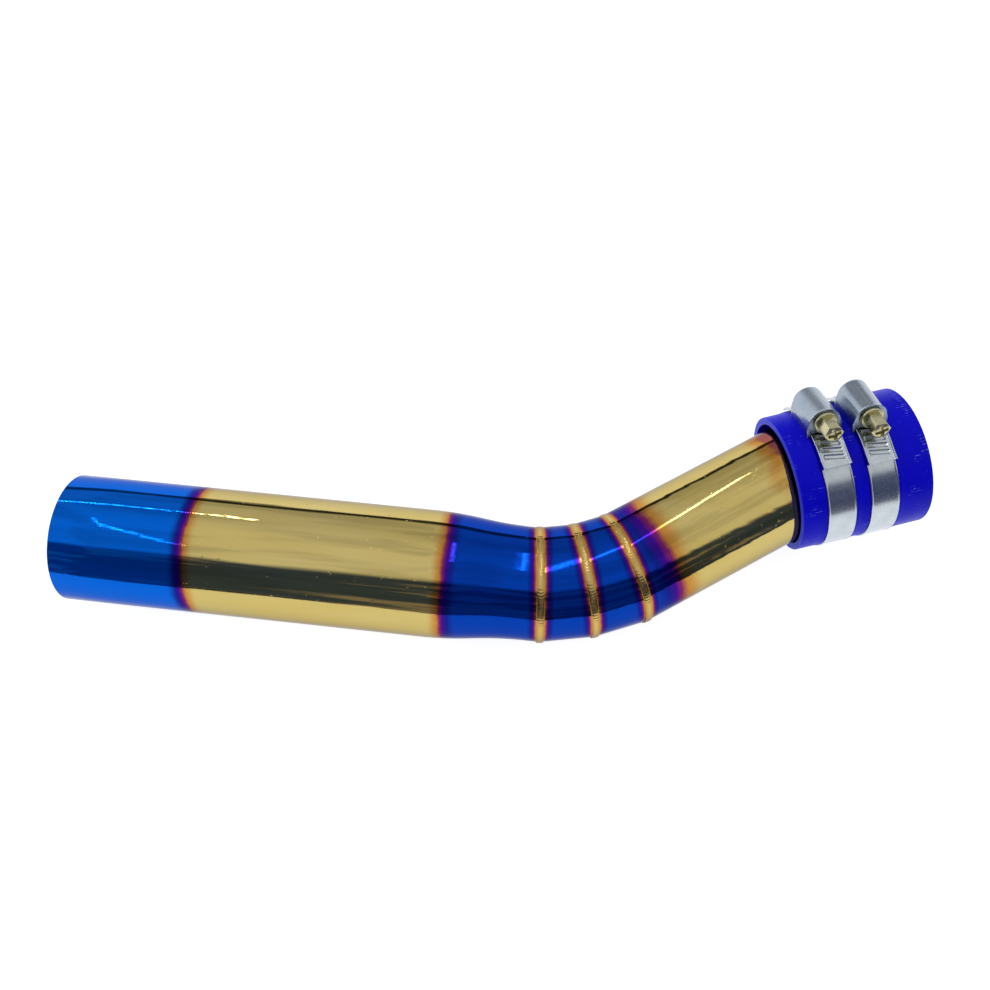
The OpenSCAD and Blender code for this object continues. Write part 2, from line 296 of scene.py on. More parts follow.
class Finish(Desk):
    # one material; vectors are in mm in the row frame
    def __init__(self, name, **sockets):
        self.material = bpy.data.materials.new(name)
        self.material.use_nodes = True
        super().__init__(self.material.node_tree)
        self.shader = self.tree.nodes["Principled BSDF"]
        for key, value in sockets.items():
            self.shader.inputs[key.replace("_", " ")].default_value = value
        self.place = self.stretch(self.node("ShaderNodeTexCoord", output=3), (1000, 1000, 1000))

    def local(self, matrix):
        # the same place, measured in the frame of the given matrix
        back = matrix.inverted()
        spin = back.to_euler("XYZ")
        return self.node("ShaderNodeMapping", {}, {
            "Vector": self.place, "Location": tuple(back.translation * 1000), "Rotation": tuple(spin)})

    def feed(self, socket, wire):
        self.tree.links.new(wire.socket, self.shader.inputs[socket])

    def bump(self, height, strength, distance):
        self.feed("Normal", self.node("ShaderNodeBump", {}, {
            "Height": height, "Strength": strength, "Distance": distance * mm}))


studio = {
    "ceiling": 0.80,       # bright part overhead
    "clouds": 0.30,        # how much the brightness overhead wanders
    "farHigh": 0.62,       # further over, on the far side
    "farLow": 0.50,        # low on the far side
    "beam": 0.03,          # a dark beam between the two, mirrored as a thin line
    "nearWall": (0.045, 0.070, 0.160),
    "nearStreaks": (0.26, 0.20, 0.13),
    "floorTone": (0.50, 0.50, 0.50),
    "floorGlow": 0.85,
    "floorSize": 5,
    "fill": 2.6,
    "lampRows": (
        # start, end, aim, count, size and watts of each lamp
        ((0.225, 0.19, 1.10), (0.225, 1.10, 1.10), (0.27, 0.05, 0), 20, 0.03, 0.022),
        ((-0.78, 0.80, 0.62), (-0.18, 0.68, 0.56), (0.03, 0, 0), 25, 0.009, 0.010),
        ((-0.62, 0.50, 1.20), (-0.40, -0.22, 1.20), (0.03, 0, 0), 19, 0.009, 0.009),
    ),
}
world = bpy.data.worlds.new("studio")
world.use_nodes = True
bpy.context.scene.world = world
sky = Desk(world.node_tree)
direction = sky.node("ShaderNodeTexCoord", output=0)
leaning = sky.node("ShaderNodeSeparateXYZ", {}, {0: direction}, output=1)
rising = sky.node("ShaderNodeSeparateXYZ", {}, {0: direction}, output=2)
# angle round the length of the pipe: 0 overhead, +90 the far horizon, -90 the near one
lean = sky.node("ShaderNodeMath", {"operation": "ARCTAN2"}, {0: leaning, 1: rising}) * (180 / math.pi)
streaks = sky.grain(sky.stretch(direction, (1.6, 6, 6)), 1.1, 3.0)
patches = sky.step(streaks, 0.52, 0.62)
clouds = sky.grain(sky.stretch(direction, (1.6, 1, 1)), 2.6, 3.0)


def grey(value):
    return (value, value, value)


tone = sky.ramp(lean * (1 / 360) + 0.5, [
    (0.20, studio["nearWall"]),
    (0.408, studio["nearWall"]),
    (0.424, grey(studio["ceiling"])),
    (0.560, grey(studio["ceiling"])),
    (0.640, grey(studio["farHigh"])),
    (0.728, grey(studio["farHigh"])),
    (0.732, grey(studio["beam"])),
    (0.748, grey(studio["beam"])),
    (0.752, grey(studio["farLow"])),
])
nearSide = sky.step(lean, -32, -26, 1.0, 0.0)
brightness = (1 + studio["clouds"] * 0.5) - sky.step(clouds, 0.42, 0.62) * studio["clouds"]
dimmer = sky.node("ShaderNodeCombineColor", {}, {0: brightness, 1: brightness, 2: brightness})
lit = sky.node("ShaderNodeMix", {"data_type": "RGBA", "blend_type": "MULTIPLY"}, {
    0: 1.0, 6: tone, 7: dimmer}, output=2)
glow = sky.node("ShaderNodeMix", {"data_type": "RGBA", "blend_type": "ADD"}, {
    0: nearSide * patches, 6: lit, 7: (*studio["nearStreaks"], 1)}, output=2)
# the lens itself sees a plain white room; only reflections see its walls
glow = sky.blend(sky.node("ShaderNodeLightPath", output=0), glow, (1, 1, 1, 1))
sky.tree.links.new(glow.socket, sky.tree.nodes["Background"].inputs["Color"])

clearSelection()
bpy.ops.mesh.primitive_plane_add(size=studio["floorSize"], location=(0.18, 0.03, cadLow.z - 0.05 * mm))
floor = bpy.context.object
floor.name = "floor"
floorFinish = Finish("paleFloor", Roughness=0.6)
floorFinish.shader.inputs["Base Color"].default_value = (*studio["floorTone"], 1)
floorFinish.shader.inputs["Emission Color"].default_value = (1, 1, 1, 1)
floorFinish.shader.inputs["Emission Strength"].default_value = studio["floorGlow"]
floor.data.materials.append(floorFinish.material)


def softLight(place, aim, size, watts):
    bpy.ops.object.light_add(type="AREA", location=place)
    lamp = bpy.context.object
    lamp.data.shape = "RECTANGLE"
    lamp.data.size, lamp.data.size_y = size
    lamp.data.energy = watts
    lamp.rotation_mode = "QUATERNION"
    lamp.rotation_quaternion = (Vector(aim) - Vector(place)).to_track_quat("-Z", "Y")


def lampRow(start, end, aim, count, size, watts):
    # a ceiling strip of small lamps, which a polished tube mirrors as a dotted line
    for i in range(count):
        softLight(Vector(start).lerp(Vector(end), i / (count - 1)), aim, (size, size), watts)


softLight((-1.25, -0.5, 0.9), (0.25, 0.03, 0), (0.5, 0.5), studio["fill"])
for row in studio["lampRows"]:
    lampRow(*row)
print("camera, floor and light made")


pipeSizes = {
    "neck": 6.5,           # plain stretch before the first weld
    "rootGap": 0.8,
    "edgeRound": 0.35,
    "coneSteps": 24,
    "coneEase": 0.6,       # how much the cone's ends are softened
    "besideSeam": 3.2,     # plain ring kept beside the first weld's end face
    "steps": 160,
}
seams = []
for number in (1, 2, 3):
    low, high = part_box(f"weld_bead_{number}")
    seams.append((low + high) / 2)
inletR = mounts["inlet_outside"]["dims"]["r_mm"]
wall = inletR - mounts["inlet_bore"]["dims"]["r_mm"]
coneStart = mounts["inlet_bore"]["dims"]["length_mm"]
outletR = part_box("pie_cut_1")[1].z / mm
firstSeam = seams[0].x / mm
wedge = seams[1] - seams[0]
wedgeLen = wedge.length / mm
mitre = math.atan2(wedge.y, wedge.x)   # turn at each weld
halfMitre = mitre / 2


def heading(count):
    return Vector((math.cos(count * mitre), math.sin(count * mitre), 0))


outletWay = heading(3)
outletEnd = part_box("outlet_tube")[1].x - seams[2].x - outletR * mm * math.sin(3 * mitre)
outletLen = outletEnd / math.cos(3 * mitre) / mm


def afterSeam(number):
    return Matrix.Translation(seams[number - 1]) @ Matrix.Rotation(number * mitre, 4, "Z")


def mitreFace(y):
    # how far a mitred end stands back from the seam's middle, in metres
    return (pipeSizes["rootGap"] * mm / 2 + y * math.sin(halfMitre)) / math.cos(halfMitre)


def pipeWall(outer, thickness):
    # closes an outer line of (x, radius) points with the inside of the wall
    inner = [(x, r - thickness) for x, r in reversed(outer)]
    return outer + inner


rounding = pipeSizes["edgeRound"]
coneEnd = firstSeam - pipeSizes["neck"]
line = [(rounding, inletR)] + [(20 * i, inletR) for i in range(1, 8)]
for i in range(pipeSizes["coneSteps"] + 1):
    t = i / pipeSizes["coneSteps"]
    drop = t - pipeSizes["coneEase"] * math.sin(math.tau * t) / math.tau
    line.append((coneStart + (coneEnd - coneStart) * t, inletR + (outletR - inletR) * drop))
line += [(firstSeam - pipeSizes["besideSeam"], outletR), (firstSeam, outletR)]
inner = [(x, r - wall) for x, r in reversed(line)]
lip = arc(rounding, inletR - wall + rounding, rounding, -90, -180, 4)
lip += arc(rounding, inletR - rounding, rounding, 180, 90, 4)
inletTube = spunPiece("inletTube", line + inner[:-1] + lip, pipeSizes["steps"])
lastRing = (firstSeam - 0.01) * mm
shapeVertices(inletTube, lambda p: Vector((p.x - mitreFace(p.y), p.y, p.z)) if p.x > lastRing else p)

pieCuts = []
for number in (1, 2):
    line = [(wedgeLen * i / 6, outletR) for i in range(7)]
    cut = spunPiece(f"pieCut{number}", pipeWall(line, wall), pipeSizes["steps"])

    def mitreBoth(p):
        t = p.x / (wedgeLen * mm)
        return Vector(((1 - t) * mitreFace(p.y) + t * (wedgeLen * mm - mitreFace(p.y)), p.y, p.z))

    shapeVertices(cut, mitreBoth)
    settle(cut, afterSeam(number))
    pieCuts.append(cut)

line = [(0, outletR), (pipeSizes["besideSeam"], outletR)] + [(outletLen * i / 8, outletR) for i in range(1, 8)]
lip = arc(outletLen - rounding, outletR - rounding, rounding, 90, 0, 4)
lip += arc(outletLen - rounding, outletR - wall + rounding, rounding, 0, -90, 4)
inner = [(x, r - wall) for x, r in reversed(line)]
outletTube = spunPiece("outletTube", line + lip + inner, pipeSizes["steps"])
shapeVertices(outletTube, lambda p: Vector((p.x + mitreFace(p.y), p.y, p.z)) if p.x < 0.01 * mm else p)
settle(outletTube, afterSeam(3))
for pipe in (inletTube, *pieCuts, outletTube):
    smoothPiece(pipe)
print("pipes made")

# weld beads: a rounded cap with ripples, and a root between the two pipe ends
beadSizes = {
    "width": 3.2,
    "height": 0.32,
    "rootProud": 0.2,
    "ripples": 118,
    "rippleHeight": 0.05,
    "curl": 0.55,          # how far each ripple bows along the weld, in ripples
    "steps": 944,
}
half = beadSizes["width"] / 2
rootHalf = pipeSizes["rootGap"] / 2 - 0.02
cap = [(half * math.sin(math.radians(a)), outletR + 0.02 + beadSizes["height"] * math.cos(math.radians(a)) ** 0.8)
       for a in range(-90, 91, 15)]
rootR = outletR - wall - beadSizes["rootProud"]
beads = []
root = [(rootHalf, outletR + 0.01), (rootHalf, rootR), (-rootHalf, rootR), (-rootHalf, outletR + 0.01)]
bead = spunPiece("weldBead1", cap + root, beadSizes["steps"])


def rippleBead(p):
    radius = math.hypot(p.y, p.z)
    rise = radius / mm - outletR - 0.03
    if rise <= 0:
        return Vector((p.x, p.y / math.cos(halfMitre), p.z))
    turn = math.atan2(-p.y, p.z) / math.tau * beadSizes["ripples"]
    across = p.x / mm / half
    drift = 0.35 * noise.noise(Vector((turn * 0.21, 3.1, 0)))
    phase = (turn + drift + beadSizes["curl"] * across * across) % 1
    lift = (1 - phase) ** 1.6 * beadSizes["rippleHeight"] * min(1, rise / 0.25)
    lift += 0.05 * noise.noise(Vector((turn * 0.5, across * 2, 7))) * min(1, rise / 0.3)
    scale = 1 + (lift - beadSizes["rippleHeight"] * 0.4 * min(1, rise / 0.3)) * mm / radius
    wave = 0.12 * mm * noise.noise(Vector((turn * 0.12, 0, 11)))
    widen = 1 + 0.06 * noise.noise(Vector((turn * 0.3, 5, 5)))
    return Vector((p.x * widen + wave, p.y * scale / math.cos(halfMitre), p.z * scale))


shapeVertices(bead, rippleBead)
for number in (1, 2, 3):
    if number < 3:
        pick(bead)
        bpy.ops.object.duplicate()
        other = bpy.context.object
    settle(bead, Matrix.Translation(seams[number - 1]) @ Matrix.Rotation((number - 0.5) * mitre, 4, "Z"))
    bead.name = f"weldBead{number}"
    smoothPiece(bead, 50)
    beads.append(bead)
    if number < 3:
        bead = other
print("weld beads made")

tint = {
    "leftEdge": 55.3,      # end of the blue at the inlet, mm from the inlet edge
    "bendEdge": 161.5,     # start of the blue at the bend
    "pastBend": 12.5,      # blue past the last weld
    "stripe": 2.6,         # half width of the gold stripe at a weld
    "wobble": 0.9,
    "paleGold": (0.60, 0.50, 0.22),
    "gold": (0.50, 0.37, 0.085),
    "amber": (0.48, 0.20, 0.03),
    "plum": (0.20, 0.02, 0.09),
    "violet": (0.045, 0.004, 0.24),
    "navy": (0.006, 0.012, 0.22),
    "endBlue": (0.001, 0.115, 0.62),
    "bendBlue": (0.001, 0.044, 0.38),
    # painted shade below the pipe: the share of the base colour's brightness kept on the underside
    "under": 0.52,         # how much of the brightness is left underneath
}


# heat tint colours, with painted shade darkening the underside
def heatTintAndShadeBelow(name, roughness, wear):
    finish = Finish(name, Specular_IOR_Level=0.1, Specular_Tint=(0.55, 0.55, 0.6, 1))
    place = finish.place
    far = finish.along(place, (1, 0, 0))
    outletRun = finish.along(place, tuple(outletWay)) - seams[2].dot(outletWay) / mm
    sway = (finish.grain(place, 0.045, 2.0) - 0.5) * (4 * tint["wobble"])
    fine = (finish.grain(place, 0.35, 4.0) - 0.5) * 1.5
    wobble = sway + fine
    # distance into the blue, in mm; below zero is gold
    leftBlue = tint["leftEdge"] - far + wobble
    bendBlue = (far - tint["bendEdge"] + wobble).low((tint["pastBend"] - outletRun + wobble * 1.6) * 0.48)
    for count, seam in enumerate(seams):
        way = heading(count + 0.5)
        away = (finish.along(place, tuple(way)) - seam.dot(way) / mm).size()
        bendBlue = bendBlue.low((away - tint["stripe"] + fine * 0.45) * 1.9)
    # scorched patches where the pipe enters the coupler
    scorch = (finish.grain(place, 0.05, 3.0) - 0.5) * 11 + (outletRun - 83) * 0.34
    depth = leftBlue.high(bendBlue).high(scorch.low(-0.8))
    blue = finish.blend(finish.step(far, 70, 150), (*tint["endBlue"], 1), (*tint["bendBlue"], 1))
    clouded = finish.grain(finish.stretch(place, (0.25, 1, 1)), 0.05, 3.0)
    gold = finish.blend(clouded, (*tint["paleGold"], 1), (*tint["gold"], 1))
    warm = finish.ramp(depth * (1 / 8) + 0.5, [
        (0.30, tint["amber"]), (0.46, tint["plum"]), (0.62, tint["violet"]), (0.82, tint["navy"])])
    toGold = finish.step(depth, -5.5, -0.9, 1.0, 0.0)
    toBlue = finish.step(depth, 2.0, 6.0)
    shade = finish.blend(toBlue, finish.blend(toGold, warm, gold), blue)
    # painted shade: darker underneath, standing in for the shaded floor that the bottom of the pipe mirrors
    under = finish.step(finish.along(place, (0, 0, 1)), -22, -9, tint["under"], 1.0)
    shadedBelow = finish.node("ShaderNodeCombineXYZ", {}, {0: under, 1: under, 2: under})
    finish.feed("Base Color", finish.stretch(shade, shadedBelow))
    # a little less metallic in the blue
    finish.feed("Metallic", finish.step(depth, 0.0, 3.0, 1.0, 0.86))
    # polishing lines along the pipe, handling marks and faint dullness at the welds
    run = finish.stretch(place, (0.02, 1, 1))
    lines = finish.grain(run, 3.5, 2.0)
    marks = finish.grain(place, 0.12, 4.0)
    finish.feed("Roughness", roughness + lines * wear + finish.step(marks, 0.55, 0.75) * wear)
    swell = finish.grain(finish.stretch(place, (0.12, 1, 1)), 0.10, 2.0)
    dents = finish.step(finish.grain(place, 0.5, 2.0), 0.68, 0.76)
    finish.bump(swell * 4 + lines * 0.08 + dents * 0.6, 1.0, 0.05)
    return finish.material


tube = heatTintAndShadeBelow("heatTintedTubeShadedBelow", 0.02, 0.05)
seamMetal = heatTintAndShadeBelow("weldMetal", 0.10, 0.14)
dress(inletTube, tube, "pipe", "pipe_metal", "inlet_tube")
dress(pieCuts[0], tube, "pipe", "pipe_metal", "pie_cut_1")
dress(pieCuts[1], tube, "pipe", "pipe_metal", "pie_cut_2")
dress(outletTube, tube, "pipe", "pipe_metal", "outlet_tube")
for number, bead in enumerate(beads, 1):
    dress(bead, seamMetal, "pipe", "weld_metal", f"weld_bead_{number}")


# the coupler: X along it from its mouth, in the frame that inCoupler gives
axis = Vector(joints["coupler_pull_off"]["axis"]).normalized()
freeEnd = Vector(mounts["coupler_bore"]["pos_m"])
reach = stations("hose_cover", freeEnd, axis)
hoseLen = -min(along for along, radius in reach)
mouth = freeEnd - hoseLen * mm * axis
turnUp = Matrix((
    tuple(axis), tuple(Vector((0, 0, 1)).cross(axis).normalized()),
    tuple(axis.cross(Vector((0, 0, 1)).cross(axis)).normalized()))).transposed().to_4x4()
inCoupler = Matrix.Translation(mouth) @ turnUp


def radiusAt(node, along, pickOne):
    found = [radius for far, radius in stations(node, mouth, axis) if abs(far - along) < 0.05]
    return pickOne(found)


couplerSizes = {
    "bulge": 0.3,
    "endRound": 0.55,
    "seatGap": 0.06,       # between the rubber and the band
    "plyBack": 0.05,       # the ply's ends stand back from the cut ends
    "mouthStep": 2,        # length of the step from the stretched mouth to the bore
    "steps": 192,
}
coverR = max(radius for along, radius in reach) - couplerSizes["bulge"]
plyR = radiusAt("hose_ply", 0, max)
linerR = radiusAt("hose_liner", 0, max)
mouthR = radiusAt("hose_liner", 0, min)
boreR = radiusAt("hose_liner", hoseLen, min)
mouthDeep = max(far for far, radius in stations("hose_liner", mouth, axis)
                if far < hoseLen - 1 and radius > mouthR - 0.05)
bandSizes = {
    "width": 11.7,
    "thick": 0.8,
    "lip": 0.25,           # height of the turned-up edges
    "edge": 0.8,           # width of the turned-up edges
    "saddle": 0.5,
    "gap": 0.3,
}
bandHalf = bandSizes["width"] / 2
bandR = min(radius for along, radius in stations("band_1", mouth, axis))
bandPlaces = [(Vector(joints[f"clamp_{n}_swivel"]["pos_m"]) - mouth).dot(axis) / mm for n in (1, 2)]
ends = couplerSizes["endRound"]
seatR = bandR - couplerSizes["seatGap"]
swell = couplerSizes["bulge"]
line = arc(ends, coverR - ends, ends, 180, 90, 5)
for place in bandPlaces:
    rise = [(0.4 * i - 3.2, coverR + swell * math.sin(math.pi / 2 * i / 7) ** 2) for i in range(1, 8)]
    # down into the seat under half of the band, as distances outwards from the band's edge
    seat = rise + [(-0.12, coverR + 0.12), (0.1, seatR), (2, seatR - 0.02)]
    line += [(place - bandHalf + x, r) for x, r in seat]
    line += [(place + bandHalf - x, r) for x, r in reversed(seat)]
line = [line[0]] + sorted(line[1:])
line += arc(hoseLen - ends, coverR - ends, ends, 90, 0, 5)
cover = spunPiece("hoseCover", line + [(hoseLen, plyR), (0, plyR)], couplerSizes["steps"])


def handMade(p):
    # rubber is never quite round or flat
    around = Vector((p.x * 30, p.y * 55, p.z * 55))
    radius = math.hypot(p.y, p.z)
    if radius < (plyR + 0.2) * mm:
        return p
    near = min(abs(p.x / mm - place) for place in bandPlaces)
    push = 0.10 * mm * noise.noise(around) * (1 if near > bandHalf + 1 else 0)
    scale = 1 + push / radius
    uneven = 0.1 * mm * noise.noise(Vector((0, p.y * 90, p.z * 90))) if p.x < 1 * mm else 0
    return Vector((p.x + uneven, p.y * scale, p.z * scale))


shapeVertices(cover, handMade)
settle(cover, inCoupler)
smoothPiece(cover, 40)
plyStart, plyEnd = couplerSizes["plyBack"], hoseLen - couplerSizes["plyBack"]
ply = spunPiece("hosePly", [(plyStart, linerR), (plyStart, plyR), (plyEnd, plyR), (plyEnd, linerR)],
                couplerSizes["steps"])
settle(ply, inCoupler)
smoothPiece(ply, 40)
line = [(0, linerR), (0, mouthR + 0.25), (0.25, mouthR)] + [(mouthDeep * i / 4, mouthR) for i in (1, 2, 3, 4)]
line += [(mouthDeep + couplerSizes["mouthStep"] * i / 6, boreR + (mouthR - boreR) * (1 + math.cos(math.pi * i / 6)) / 2)
         for i in range(1, 7)]
boreStart = mouthDeep + couplerSizes["mouthStep"]
line += [(boreStart + (hoseLen - boreStart) * i / 4, boreR) for i in (1, 2, 3)]
line += [(hoseLen - 0.25, boreR), (hoseLen, boreR + 0.25), (hoseLen, linerR)]
liner = spunPiece("hoseLiner", line, couplerSizes["steps"])
settle(liner, inCoupler)
smoothPiece(liner, 40)
print("coupler made")

rubber = {
    "deep": (0.002, 0.001, 0.52),
    "pale": (0.006, 0.005, 0.80),
    # pale cut end: partly the raw cut silicone, partly painted light on an end face that sits in shade
    "cut": (0.05, 0.07, 0.90),
    "lint": (0.35, 0.42, 0.95),
    # painted highlight on the threads' tops; the darker thread colour is painted shade in the hollows
    "thread": (0.02, 0.03, 0.50),
    "threadTopLit": (0.12, 0.16, 0.85),
}
silicone = Finish("silicone", IOR=1.41, Specular_IOR_Level=0.07)
inHose = silicone.local(inCoupler)
lengthwise = silicone.node("ShaderNodeSeparateXYZ", {}, {0: inHose}, output=0)
acrossY = silicone.node("ShaderNodeSeparateXYZ", {}, {0: inHose}, output=1)
acrossZ = silicone.node("ShaderNodeSeparateXYZ", {}, {0: inHose}, output=2)
turnMm = silicone.node("ShaderNodeMath", {"operation": "ARCTAN2"}, {0: acrossY, 1: acrossZ}) * coverR
bias = silicone.grain(inHose, 0.4, 3.0) * 0.8
weaveA = silicone.node("ShaderNodeMath", {"operation": "SINE"}, {0: (lengthwise + turnMm + bias) * 4.2})
weaveB = silicone.node("ShaderNodeMath", {"operation": "SINE"}, {0: (lengthwise - turnMm + bias) * 4.2})
weave = weaveA.high(weaveB)
mottle = silicone.grain(inHose, 0.09, 4.0)
dust = silicone.step(silicone.grain(silicone.stretch(inHose, (1, 0.4, 0.4)), 1.6, 5.0), 0.66, 0.76)
# rubbed patches where the woven wrap left its print
patch = silicone.step(silicone.grain(inHose, 0.16, 1.0), 0.60, 0.70)
wrapWave = silicone.node("ShaderNodeMath", {"operation": "SINE"}, {0: (turnMm + bias * 2) * 5.0})
wrapPrint = silicone.step(wrapWave, 0.55, 0.95)
rubbed = patch * wrapPrint * silicone.step(silicone.grain(inHose, 1.1, 3.0), 0.45, 0.62)
# the cut end at the mouth is painted pale: partly the raw cut, partly painted light on the shaded end face
paleCutEndAndLight = silicone.step(lengthwise, 0.05, 0.5, 1.0, 0.0)
shade = silicone.blend(mottle, (*rubber["deep"], 1), (*rubber["pale"], 1))
shade = silicone.blend(paleCutEndAndLight * 0.75, shade, (*rubber["cut"], 1))
silicone.feed("Base Color", silicone.blend((dust * 0.12).high(rubbed * 0.45), shade, (*rubber["lint"], 1)))
silicone.feed("Roughness", 0.28 + mottle * 0.16 + dust * 0.2)
silicone.bump(weave * 0.4 + rubbed * 0.5 + silicone.grain(inHose, 2.5, 3.0) * 0.5, 0.4, 0.06)

fabric = Finish("hoseFabric", Roughness=0.85)
inPly = fabric.local(inCoupler)
thread = fabric.grain(inPly, 3.0, 2.0)
# painted light and shade: paler on the threads' tops and darker between them, following the same noise as the bump
fabric.feed("Base Color", fabric.blend(thread, (*rubber["thread"], 1), (*rubber["threadTopLit"], 1)))
fabric.bump(thread, 0.6, 0.15)
dress(cover, silicone.material, "coupler", "silicone", "hose_cover")
dress(liner, silicone.material, "coupler", "silicone", "hose_liner")
dress(ply, fabric.material, "coupler", "hose_fabric", "hose_ply")


def plated(name, dark, light, rough, frameMatrix, brushed, grime):
    # zinc plate on pressed or drawn steel, brushed along one way of the clamp's frame
    finish = Finish(name, Metallic=1.0)
    place = finish.local(frameMatrix)
    lines = finish.grain(finish.stretch(place, brushed), 2.2, 3.0)
    cloud = finish.grain(place, 0.22, 4.0)
    spots = finish.step(finish.grain(place, 1.3, 4.0), 0.58, 0.72)
    shade = finish.blend(cloud, (*dark, 1), (*light, 1))
    finish.feed("Base Color", finish.blend(spots * grime, shade, (0.16, 0.15, 0.12, 1)))
    finish.feed("Roughness", rough + lines * 0.12 + spots * 0.12)
    finish.bump(lines * 0.2 + cloud * 0.4, 0.3, 0.03)
    return finish.material


housingSizes = {
    "sheet": 0.9,
    "lipLength": 1.5,
    "lipOut": 0.45,
    "beside": 0.65,        # shoulder on each side of the round top
    "overWorm": 0.35,      # gap above the worm
    "shoulder": 2.5,       # below the middle of the worm
    "edgeRound": 0.35,
    "holeFit": 0.05,
}
wormSizes = {
    "outer": 4.2,
    "pitch": 3.0,
    "threadDeep": 0.8,
    "threadSink": 0.2,
    "crestHalf": 0.45,
    "footHalf": 0.8,
    "threadSteps": 32,     # per turn
    "neck": 3.2,
    "pilot": 2.6,
    "flats": 7.0,
    "headLen": 8.0,
    "collarLen": 1.6,
    "collarOver": 0.8,
    "recess": (1.5, 5.4, 1.8),
}
saddleTop = bandR + bandSizes["thick"] + bandSizes["saddle"]
tailR = saddleTop + bandSizes["gap"]
tailTop = tailR + bandSizes["thick"]
mesh = tailTop - 0.25
grooveTurn = math.degrees(wormSizes["pitch"] / mesh)
leadSlope = wormSizes["pitch"] / (math.tau * wormSizes["outer"])


def bandProfile(inner, across):
    # a flat strip with turned-up, rounded edges; across is the count of columns between them
    outer = inner + bandSizes["thick"]
    top = outer + bandSizes["lip"]
    flat = bandHalf - bandSizes["edge"]
    left = [(-bandHalf + 0.12, inner), (-bandHalf, inner + 0.12), (-bandHalf, top - 0.18),
            (-bandHalf + 0.06, top - 0.05), (-bandHalf + 0.18, top), (-bandHalf + 0.42, top - 0.02),
            (-flat - 0.12, outer + 0.03)]
    middle = [(-flat + 2 * flat * i / across, outer) for i in range(across + 1)]
    right = [(-x, r) for x, r in reversed(left)]
    return left + middle + right


def angleOf(p):
    # angle round the clamp, 0 at the housing and positive towards the screw head
    return math.degrees(math.atan2(-p.y, p.z))


